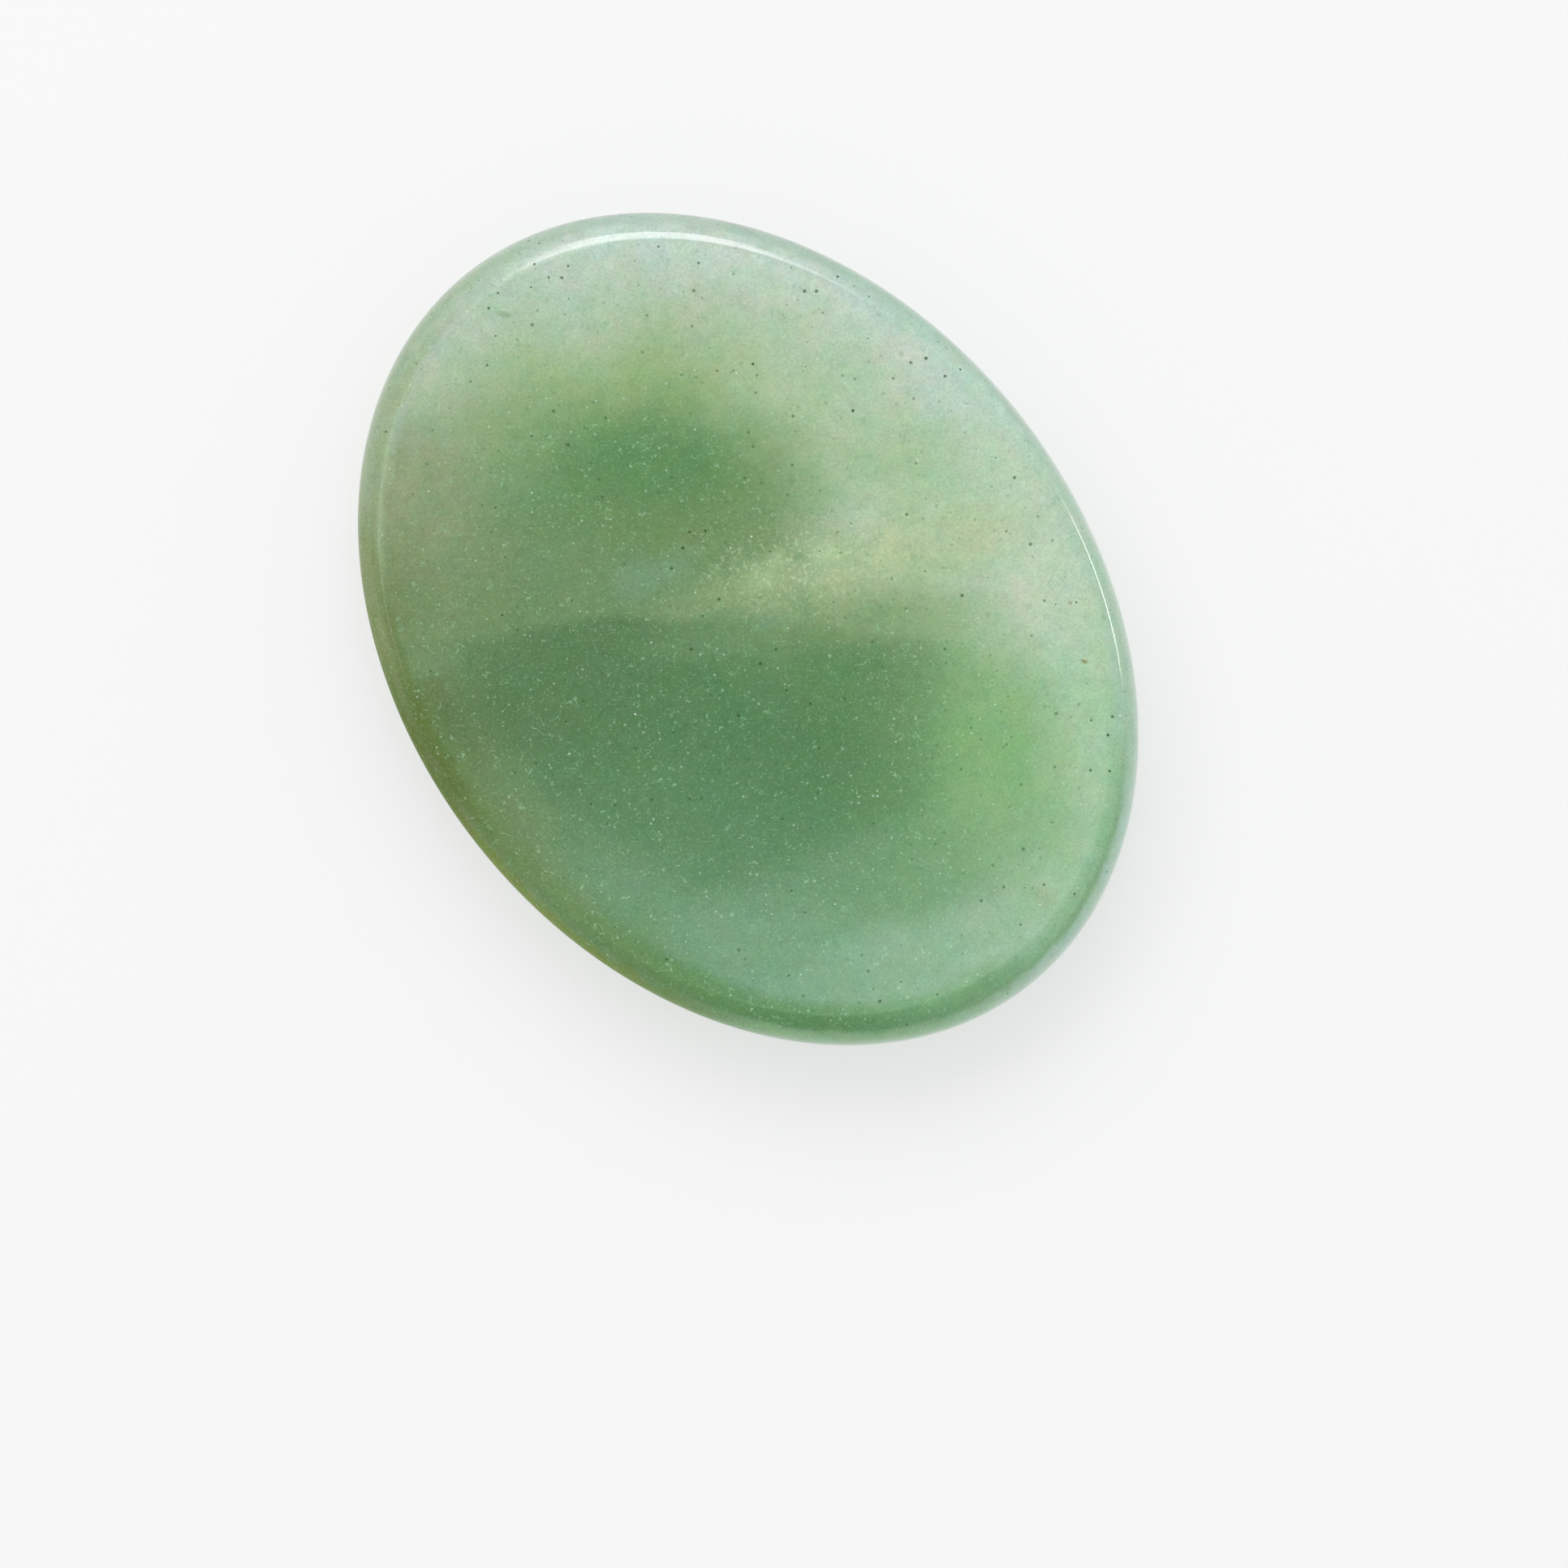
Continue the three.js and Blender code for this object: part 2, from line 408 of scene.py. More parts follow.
CLOUDS = (
    Cloud("cool veil", (12, 15), (9, 7), -40, 0.9, 0.8, COOL_MILK),
    Cloud("top veil", (-10.5, 21), (6, 3), 10, 0.9, 0.7, COOL_MILK),
    Cloud("upper left veil", (-17, 13), (7, 7), 0, 0.9, 0.3, WARM_MILK),
    Cloud("right green", (14, 8), (6, 4), 0, 0.9, 0.6, PALE_GREEN),
    Cloud("green field", (-8, -7), (19, 14), -28, 0.45, 1.0, SAGE),
    Cloud("right field", (9, -9), (9, 7), 35, 0.8, 0.9, FERN),
    Cloud("lower right field", (17.5, -14), (6, 6), 20, 0.8, 0.8, LIGHT_FERN),
    Cloud("right warmth", (13.5, 3), (6, 3.2), 5, 0.9, 0.65, RIGHT_WARM),
    Cloud("right olive", (11.5, 0), (6, 3), 0, 0.9, 0.5, LIGHT_OLIVE),
    Cloud("right middle", (10.5, -3), (4, 2.6), -20, 0.9, 0.55, RIGHT_FERN),
    Cloud("olive halo", (-5, 12), (14, 7.5), -8, 0.75, 1.0, OLIVE),
    Cloud("middle haze", (-10, 4), (12, 5), 0, 0.6, 0.9, SAGE),
    Cloud("left haze", (-21, 8), (5.5, 7), 0, 0.8, 0.9, GREY_OLIVE),
    Cloud("left shoulder", (-15.5, 6), (3.5, 5), 15, 0.9, 0.3, SAGE),
    Cloud("upper left light", (-18.5, 15.5), (3.2, 3), 0, 0.9, 0.65, SOFT_MILK),
    Cloud("upper left olive", (-15, 12.5), (3, 3), 0, 0.9, 0.55, UPPER_OLIVE),
    Cloud("left middle", (-17, 1.5), (3.5, 3), 0, 0.9, 0.45, LEFT_MIDDLE),
    Cloud("upper light", (3.5, 13.5), (4.8, 4.8), 0, 0.9, 0.5, UPPER_LIGHT),
    Cloud("upper left cool", (-12.5, 18.8), (5, 2.8), 10, 0.9, 0.4, UPPER_COOL),
    Cloud("upper cloud", (-5.5, 8.8), (7.8, 4.4), -6, 0.65, 1.0, LEAF),
    Cloud("upper cloud's tail", (0.8, 8.3), (2.6, 2.2), -10, 0.9, 0.3, MOSS),
    Cloud("olive underside", (-4, 5.8), (7, 1.8), -5, 0.9, 0.5, UNDERSIDE),
    Cloud("cool low field", (-2, -15), (12, 5), -14, 0.7, 0.9, SEA),
    Cloud("cool low shade", (4, -15.3), (6.5, 2.6), -2, 0.9, 0.8, LOW_SEA),
    Cloud("bottom field", (2, -21), (9, 4), 0, 0.8, 0.9, DEEP_SEA),
    Cloud("lower right shade", (9.7, -12.6), (5, 4.8), 30, 0.9, 0.9, RIGHT_SHADE),
    Cloud("far right light", (19, -15), (2.5, 2.2), 40, 0.9, 0.5, PALE_LIME),
    Cloud("lobe", (15.3, -6.2), (4.8, 5), 0, 0.9, 0.9, LIME),
    Cloud("right milk", (21.2, -3), (3.1, 9), 5, 0.8, 0.9, PALE_LIME),
    Cloud("right veil", (18.5, 4.5), (4.5, 5.5), 0, 0.9, 0.5, WARM_PEARL),
    Cloud(
        "lower shade", (-5.5, -5.3), (12.7, 8.2), -12, 0.5, 1.0, GREY_BOTTLE,
        (SHADE_TOP_LEFT, SHADE_TOP, SHADE_LEFT),
    ),
    Cloud("lower shade's right end", (1.5, -6), (7.8, 6.3), -14, 0.7, 0.88, BOTTLE, (SHADE_TOP_RIGHT,)),
    Cloud(
        "lower shade's upper right", (5, -1.8), (5.5, 3), -12, 0.8, 0.85, UPPER_BOTTLE, (SHADE_TOP_RIGHT,),
    ),
    Cloud("cool underside", (-2, -11.3), (9, 3), -12, 0.9, 0.5, COOL_UNDERSIDE),
    Cloud("cream streak", (6, 3.4), (8.5, 1.8), 14, 0.9, 0.55, CREAM, (STREAK_LOW,)),
    Cloud("olive below the streak", (5.5, 0.9), (6, 1.5), 0, 0.9, 0.8, BELOW_STREAK),
    # The warm strip and the deep olive patches by the left edge are partly the stone's own colour and partly
    # painted shade and warm light, seen through the stone from behind.
    Cloud("warm strip", (-14.3, -11.4), (1.9, 7.5), 34, 0.8, 0.75, WARM_SAGE),
    Cloud("left olive", (-19.2, -5.3), (2.2, 3.2), 30, 0.8, 0.9, DEEP_OLIVE, (PATCH_TOP,)),
    Cloud("left deep", (-21.2, 1.2), (2.2, 4), 0, 0.9, 0.8, LEFT_DEEP),
    # Painted sheen low in the dish: partly the stone's milky tone, partly painted reflection of light
    # overhead.
    Cloud("sheen", (9.5, -18.7), (6.5, 1.3), 20, 0.9, 0.25, MILKY_PAINTED_SHEEN),
    # Painted shade: a darker green band inside the lower right rim, where the steep dish mirrors nothing
    # bright.
    Cloud("painted shade inside the lower right rim", (11.5, -20.3), (5, 1.5), 33, 0.9, 0.7, RIM_SHADE_GREEN),
    Cloud("dark lower left", (-6.8, -19.6), (4.6, 2.2), -38, 0.9, 0.75, LOW_DEEP),
    Cloud("milk inside the upper left rim", (-17, 17.2), (4.5, 1.8), 58, 0.9, 0.45, RIM_MILK),
    Cloud("upper right green", (9, 9.5), (2.5, 2.2), 0, 0.9, 0.35, UPPER_FERN),
    Cloud("left shade", (-15.3, -5.4), (2, 2.6), 0, 0.9, 0.6, LEFT_SHADE),
    Cloud("haze over the edge", (-1.8, -0.8), (3.6, 1.3), 0, 0.9, 0.33, EDGE_HAZE),
    Cloud("blue spot", (-6.7, 2.8), (1.2, 0.9), 60, 0.9, 0.35, SPOT_BLUE),
    Cloud("second blue spot", (-4.6, 3.5), (1.5, 0.6), 35, 0.9, 0.4, SPOT_BLUE),
    Cloud("teal wedge", (1.4, 0.5), (1.5, 0.4), 10, 0.8, 0.4, SPOT_TEAL),
    Cloud("first clot", (4.7, 4.8), (0.9, 0.5), 20, 0.9, 0.5, CLOT),
    Cloud("second clot", (1.7, 4.3), (0.6, 0.4), 40, 0.9, 0.5, CLOT),
    Cloud("third clot", (0.5, 3.1), (1.0, 0.5), 25, 0.9, 0.4, CLOT),
    Cloud("fourth clot", (8.0, 4.6), (0.9, 0.6), 50, 0.9, 0.5, CLOT),
    Cloud("green spot", (3.4, 4.5), (0.4, 0.25), 0, 0.9, 0.4, LEAF),
    Cloud("upper green spot", (-14.4, 18.4), (0.35, 0.2), -10, 0.9, 0.5, LEAF),
    Cloud("left rim spot", (-22.3, -0.5), (0.25, 0.3), 0, 0.9, 0.4, PINE),
    Cloud("nick in the left rim", (-21.3, -3.9), (0.45, 0.16), -25, 0.9, 0.6, PINE),
    Cloud("lower left rim spot", (-19.2, -7.3), (0.3, 0.25), 30, 0.9, 0.45, PINE),
    Cloud("second lower left rim spot", (-16.1, -11.7), (0.3, 0.25), 0, 0.9, 0.5, PINE),
    Cloud("upper left rim spot", (-19.7, 16), (0.22, 0.18), 0, 0.9, 0.6, PINE),
    Cloud("bottom rim spots", (5.9, -23.4), (0.4, 0.16), 15, 0.9, 0.6, PINE),
    Cloud("rust speck", (19.9, -2), (0.2, 0.16), 0, 0.8, 0.8, OCHRE),
    Cloud("second rust speck", (21.1, 0.7), (0.14, 0.2), 0, 0.8, 0.8, OCHRE),
    Cloud("brown smudge", (17.3, -15.6), (0.8, 0.5), 0, 0.9, 0.4, SMUDGE),
)

CRUMBS = Cloud("crumbs in the streak", (4.5, 4.2), (6.5, 2.2), 14, 0.9, 0.6, CRUMB)

# Bands along the rim, most of them painted light and shade: lighter where the polish would mirror bright
# surroundings, darker where it would mirror dark ones or lie in shade, and a greyer band that sets how the
# highlight on the upper crest looks.
BANDS = (
    Band("upper edge", 0.15, 0.3, 0.25, 102, 52, 0.9, (98, 120, 102)),
    Band("upper rim", 0.65, 0.45, 0.35, 102, 50, 0.85, (148, 170, 154)),
    Band("upper crest", 1.35, 0.45, 0.35, 105, 38, 0.6, (180, 195, 186)),
    Band("upper left shoulder", 0.6, 0.7, 0.5, 137, 22, 0.7, (147, 168, 142)),
    Band("upper right edge", 0.3, 0.35, 0.3, 52, 35, 0.85, (134, 165, 142)),
    Band("upper right rim", 0.9, 0.7, 0.6, 45, 35, 0.5, (164, 196, 176)),
    Band("right rim", 0.35, 0.45, 0.3, 0, 32, 0.85, (160, 191, 167)),
    Band("lower right rim", 1.3, 0.6, 0.5, -42, 35, 0.8, (140, 183, 141)),
    # Painted reflection: a pale bluish edge at the lower right.
    Band("painted reflection on the lower right edge", 0.3, 0.45, 0.25, -42, 32, 0.9, (160, 194, 172)),
    Band("line along the lower right rim", 0.97, 0.2, 0.15, -47, 30, 0.6, (124, 165, 122)),
    # Painted shade: this band and the two after it darken the bottom rim and the dish just inside it.
    Band("bottom rim", 1.25, 0.55, 0.45, -88, 33, 0.85, (100, 151, 102)),
    Band("lower right rim's inside", 1.9, 0.8, 0.6, -65, 16, 0.85, (114, 160, 114)),
    Band("lower rim's inside", 1.75, 0.85, 0.5, -92, 24, 0.9, (93, 138, 89)),
    Band("bottom edge", 0.45, 0.35, 0.25, -80, 27, 0.85, (126, 172, 122)),
    Band("lower left rim", 1.2, 1.0, 0.8, -135, 40, 0.7, (107, 134, 84)),
    Band("lower edge", 0.4, 0.5, 0.3, -108, 18, 0.85, (96, 132, 78)),
    # Painted light: a warm yellowish glow through the thin lower left edge.
    Band("painted warm light through the lower left edge", 0.25, 0.35, 0.25, -140, 40, 0.9, (122, 140, 76)),
    Band("left rim", 0.6, 1.0, 0.5, -168, 27, 0.9, (96, 114, 60)),
    Band("upper left crest", 1.6, 0.5, 0.4, 140, 15, 0.8, (168, 184, 168)),
    Band("left crest", 1.35, 0.45, 0.3, 153, 20, 0.8, (152, 170, 135)),
    Band("right rim's inside", 1.15, 0.45, 0.3, 5, 25, 0.7, (168, 197, 174)),
    Band("upper left rim", 0.6, 0.7, 0.4, 172, 18, 0.85, (126, 141, 96)),
    Band("upper left edge", 0.3, 0.4, 0.3, 143, 14, 0.8, (138, 157, 126)),
    Band("left shoulder", 0.7, 0.6, 0.4, 154, 10, 0.8, (140, 158, 126)),
)

# The lower left edge mirrors less of the bright floor.
DULL_EDGE = Band("dull edge", 0.0, 0.65, 0.35, -145, 60, 0.85, None)

# Along the rim a band is full up to the first share of its reach, and gone at the second.
BAND_FULL = 0.5
BAND_GONE = 1.3

# Noise in the stone. An offset takes a pattern away from the others. The pattern shows from nothing to
# full where its noise goes from start to end.
CLOUD_DRIFT = Pattern(0.22, 3.0, 0.5, (0, 0, 0))
RIM_WAVE = Pattern(0.6, 3.0, 0.6, (6, 33, 71))
SUGAR_GRAIN = Pattern(7.0, 2.0, 0.7, (3, 50, 8), 0.53, 0.75)
CURLS_KEPT = Pattern(1.9, 1.0, 0.5, (70, 12, 5), 0.6, 0.66)
CRUMB_GRAIN = Pattern(3.6, 2.0, 0.7, (2, 80, 14), 0.52, 0.68)

# A curl is the thin line where its noise turns over the middle value: start and end are distances from it.
CURL_WINDING = Pattern(2.6, 1.0, 0.5, (9, 31, 4), 0.035, 0.005)

# How far the clouds' edges and the rim bands wander, in millimetres
CLOUD_WANDER = (2.4, 2.4, 0)
RIM_WANDER = 0.7

SUGAR_STRENGTH = 0.38
CURL_STRENGTH = 0.6

# Each toning multiplies the colour by a factor that goes from low to high through its pattern.
TONINGS = (
    Toning(
        "warm and cool patches", Pattern(0.4, 3.0, 0.6, (0, 0, 0), 0.3, 0.7, smooth=False),
        (0.93, 1.0, 1.0), (1.07, 1.0, 0.97),
    ),
    Toning(
        "milkiness", Pattern(0.55, 4.0, 0.6, (8, 60, 30), 0.32, 0.68, smooth=False),
        (0.95, 1.0, 0.94), (1.06, 1.0, 1.07),
    ),
    Toning(
        "clots", Pattern(1.1, 3.0, 0.6, (40, 9, 3), 0.3, 0.7, smooth=False),
        (0.94, 0.94, 0.94), (1.06, 1.06, 1.06),
    ),
    Toning(
        "fine grain", Pattern(6.0, 1.0, 0.7, (0, 0, 0), 0.25, 0.75, smooth=False),
        (0.9, 0.9, 0.9), (1.1, 1.1, 1.1),
    ),
    Toning(
        "deeper blotches", Pattern(1.7, 3.0, 0.65, (17, 2, 60), 0.55, 0.72),
        (1.0, 1.0, 1.0), (0.856, 0.936, 0.88),
    ),
    Toning(
        "mottling", Pattern(1.5, 3.0, 0.6, (5, 22, 90), 0.32, 0.68, smooth=False),
        (0.97, 1.005, 1.015), (1.03, 1.0, 0.98),
    ),
)

# The least radius and strength of a fleck, as shares of the full ones
SMALLEST_FLECK = 0.5
FAINTEST_FLECK = 0.4

FLECKS = (
    Fleck("faint dark specks", (5, 3, 11), 0.75, 0.16, 0.8, 0.8, 0.45, PINE),
    Fleck("dark specks", (0, 0, 0), 1.0, 0.15, 0.6, 0.8, 0.95, PINE),
    Fleck("rusty specks", (12, 40, 2), 3.0, 0.18, 0.6, 0.4, 0.7, RUST),
    Fleck("green specks", (3, 7, 41), 1.3, 0.28, 0.9, 0.4, 0.35, LEAF),
    Fleck("pale specks", (31, 17, 5), 0.42, 0.11, 0.6, 0.5, 0.4, FROST),
    # Painted glints: tiny white points that stand in for light caught on mica.
    Fleck("painted mica glints", (7, 23, 19), 1.2, 0.075, 0.3, 0.3, 0.9, GLINT_WHITE),
)


# How the stone takes the light
QUARTZ_IOR = 1.54
BODY_ROUGHNESS = 0.45
POLISH_ROUGHNESS = 0.03
SCATTERED_SHARE = 0.25
SCATTERED_REACH = (1.0, 1.0, 0.8)  # of red, green and blue, as shares of the depth
SCATTER_DEPTH = 0.8


def base_colour(tint):
    """The linear base colour that looks like the given tint once it is lit and polished."""
    shares = [v / 255 for v in tint]
    seen_light = [v / 12.92 if v <= 0.04045 else ((v + 0.055) / 1.055) ** 2.4 for v in shares]
    return tuple((v - HAZE) / LIT for v in seen_light) + (1.0,)


def maths(tree, operation, *values):
    """A Math node fed with sockets or numbers. Returns its output."""
    node = add(tree, "ShaderNodeMath", operation=operation)
    feed(tree, node, values)
    return node.outputs[0]


def vectors(tree, operation, *values, output=0):
    """A Vector Math node fed with sockets or vectors. Returns one of its outputs."""
    node = add(tree, "ShaderNodeVectorMath", operation=operation)
    feed(tree, node, values)
    return node.outputs[output]


def feed(tree, node, values):
    for socket, value in zip(node.inputs, values):
        if isinstance(value, bpy.types.NodeSocket):
            link(tree, value, socket)
        else:
            socket.default_value = value


def ramp(tree, value, start, end, low=0.0, high=1.0, smooth=True):
    """Takes a value from start to end over to low to high."""
    node = add(tree, "ShaderNodeMapRange", interpolation_type="SMOOTHSTEP" if smooth else "LINEAR")
    feed(tree, node, (value, start, end, low, high))
    return node.outputs[0]


def blend(tree, share, under, over, mode="MIX"):
    """Lays one colour over another by a share from 0 to 1."""
    node = add(tree, "ShaderNodeMix", data_type="RGBA", blend_type=mode)
    for socket, value in ((node.inputs[0], share), (node.inputs[6], under), (node.inputs[7], over)):
        if isinstance(value, bpy.types.NodeSocket):
            link(tree, value, socket)
        else:
            socket.default_value = value
    return node.outputs[2]


def shader_group(name, wanted, given):
    """An empty shader node group with named inputs and outputs."""
    tree = bpy.data.node_groups.new(name, "ShaderNodeTree")
    for label, kind, value in wanted:
        socket = tree.interface.new_socket(label, in_out="INPUT", socket_type=f"NodeSocket{kind}")
        if value is not None:
            socket.default_value = value
    for label, kind in given:
        tree.interface.new_socket(label, in_out="OUTPUT", socket_type=f"NodeSocket{kind}")
    return tree, add(tree, "NodeGroupInput").outputs, add(tree, "NodeGroupOutput").inputs


def use(tree, group, **values):
    """A group placed in a tree. A keyword feeds the input of that name. Returns its outputs."""
    node = add(tree, "ShaderNodeGroup", node_tree=group)
    for name, value in values.items():
        socket = node.inputs[name.replace("_", " ")]
        if isinstance(value, bpy.types.NodeSocket):
            link(tree, value, socket)
        else:
            socket.default_value = value
    return node.outputs


def soft_cloud_group():
    """An oval patch that fades out to nothing: 1 in its middle, a half on its line, 0 past it."""
    tree, given, out = shader_group(
        "soft cloud",
        (
            ("Point", "Vector", None),
            ("Middle", "Vector", None),
            ("Half Size", "Vector", (1, 1, 1)),
            ("Turn", "Float", 0.0),
            ("Softness", "Float", 0.5),
        ),
        (("Share", "Float"),),
    )
    from_middle = vectors(tree, "SUBTRACT", given["Point"], given["Middle"])
    turned = add(tree, "ShaderNodeVectorRotate", rotation_type="Z_AXIS")
    link(tree, from_middle, turned.inputs["Vector"])
    link(tree, maths(tree, "MULTIPLY", given["Turn"], -1), turned.inputs["Angle"])
    reach = vectors(tree, "LENGTH", vectors(tree, "DIVIDE", turned.outputs[0], given["Half Size"]), output=1)
    inner = maths(tree, "SUBTRACT", 1, given["Softness"])
    outer = maths(tree, "ADD", 1, given["Softness"])
    link(tree, ramp(tree, reach, outer, inner), out["Share"])
    return tree


def soft_edge_group():
    """A straight edge that fades: 1 on the side it faces, 0 behind it."""
    tree, given, out = shader_group(
        "soft edge",
        (
            ("Point", "Vector", None),
            ("On Edge", "Vector", None),
            ("Facing", "Vector", (1, 0, 0)),
            ("Softness", "Float", 1.0),
        ),
        (("Share", "Float"),),
    )
    from_edge = vectors(tree, "SUBTRACT", given["Point"], given["On Edge"])
    past = vectors(tree, "DOT_PRODUCT", from_edge, given["Facing"], output=1)
    behind = maths(tree, "MULTIPLY", given["Softness"], -1)
    link(tree, ramp(tree, past, behind, given["Softness"]), out["Share"])
    return tree


def inset_group():
    """How far in from the stone's outline a point lies, seen from above."""
    tree, given, out = shader_group(
        "inset from the outline", (("Point", "Vector", None),), (("Inset", "Float"),),
    )
    flat = vectors(tree, "MULTIPLY", given["Point"], (1, 1, 0))
    half_sizes = (LENGTH / 2, WIDTH / 2, 1)
    from_middle = vectors(tree, "LENGTH", flat, output=1)
    reach = vectors(tree, "LENGTH", vectors(tree, "DIVIDE", flat, half_sizes), output=1)
    outline = maths(tree, "DIVIDE", from_middle, maths(tree, "MAXIMUM", reach, 0.001))
    link(tree, maths(tree, "SUBTRACT", outline, from_middle), out["Inset"])
    return tree


def rim_band_group():
    """A soft band that runs along the rim on one side of the stone."""
    tree, given, out = shader_group(
        "rim band",
        (
            ("Point", "Vector", None),
            ("Inset", "Float", 0.0),
            ("Band Inset", "Float", 0.5),
            ("Half Width", "Float", 0.5),
            ("Softness", "Float", 0.3),
            ("Facing", "Vector", (1, 0, 0)),
            ("Reach", "Float", 0.5),
        ),
        (("Share", "Float"),),
    )
    away = maths(tree, "ABSOLUTE", maths(tree, "SUBTRACT", given["Inset"], given["Band Inset"]))
    outer = maths(tree, "ADD", given["Half Width"], given["Softness"])
    inner = maths(tree, "MAXIMUM", maths(tree, "SUBTRACT", given["Half Width"], given["Softness"]), 0)
    across = ramp(tree, away, outer, inner)
    direction = vectors(tree, "NORMALIZE", vectors(tree, "MULTIPLY", given["Point"], (1, 1, 0)))
    angle = maths(tree, "ARCCOSINE", vectors(tree, "DOT_PRODUCT", direction, given["Facing"], output=1))
    gone = maths(tree, "MULTIPLY", given["Reach"], BAND_GONE)
    full = maths(tree, "MULTIPLY", given["Reach"], BAND_FULL)
    along = ramp(tree, angle, gone, full)
    link(tree, maths(tree, "MULTIPLY", across, along), out["Share"])
    return tree


def fleck_group():
    """Small round flecks strewn through the stone, each a sphere that the surface cuts."""
    tree, given, out = shader_group(
        "flecks",
        (
            ("Point", "Vector", None),
            ("Spacing", "Float", 1.0),
            ("Radius", "Float", 0.2),
            ("Softness", "Float", 0.3),
            ("Kept", "Float", 0.5),
        ),
        (("Share", "Float"),),
    )
    cells = add(tree, "ShaderNodeTexVoronoi")
    link(tree, given["Point"], cells.inputs["Vector"])
    link(tree, maths(tree, "DIVIDE", 1, given["Spacing"]), cells.inputs["Scale"])
    away = maths(tree, "MULTIPLY", cells.outputs["Distance"], given["Spacing"])
    chances = add(tree, "ShaderNodeSeparateColor")
    link(tree, cells.outputs["Color"], chances.inputs[0])
    size = ramp(tree, chances.outputs[1], 0, 1, SMALLEST_FLECK, 1.0, smooth=False)
    radius = maths(tree, "MULTIPLY", given["Radius"], size)
    inner = maths(tree, "MULTIPLY", radius, maths(tree, "SUBTRACT", 1, given["Softness"]))
    inside = ramp(tree, away, radius, inner)
    kept = maths(tree, "LESS_THAN", chances.outputs[0], given["Kept"])
    strength = ramp(tree, chances.outputs[2], 0, 1, FAINTEST_FLECK, 1.0, smooth=False)
    link(tree, maths(tree, "MULTIPLY", maths(tree, "MULTIPLY", inside, kept), strength), out["Share"])
    return tree


def as_vector(values):
    return tuple(values) + (0,) * (3 - len(values))


def facing_vector(degrees):
    return (math.cos(math.radians(degrees)), math.sin(math.radians(degrees)), 0)


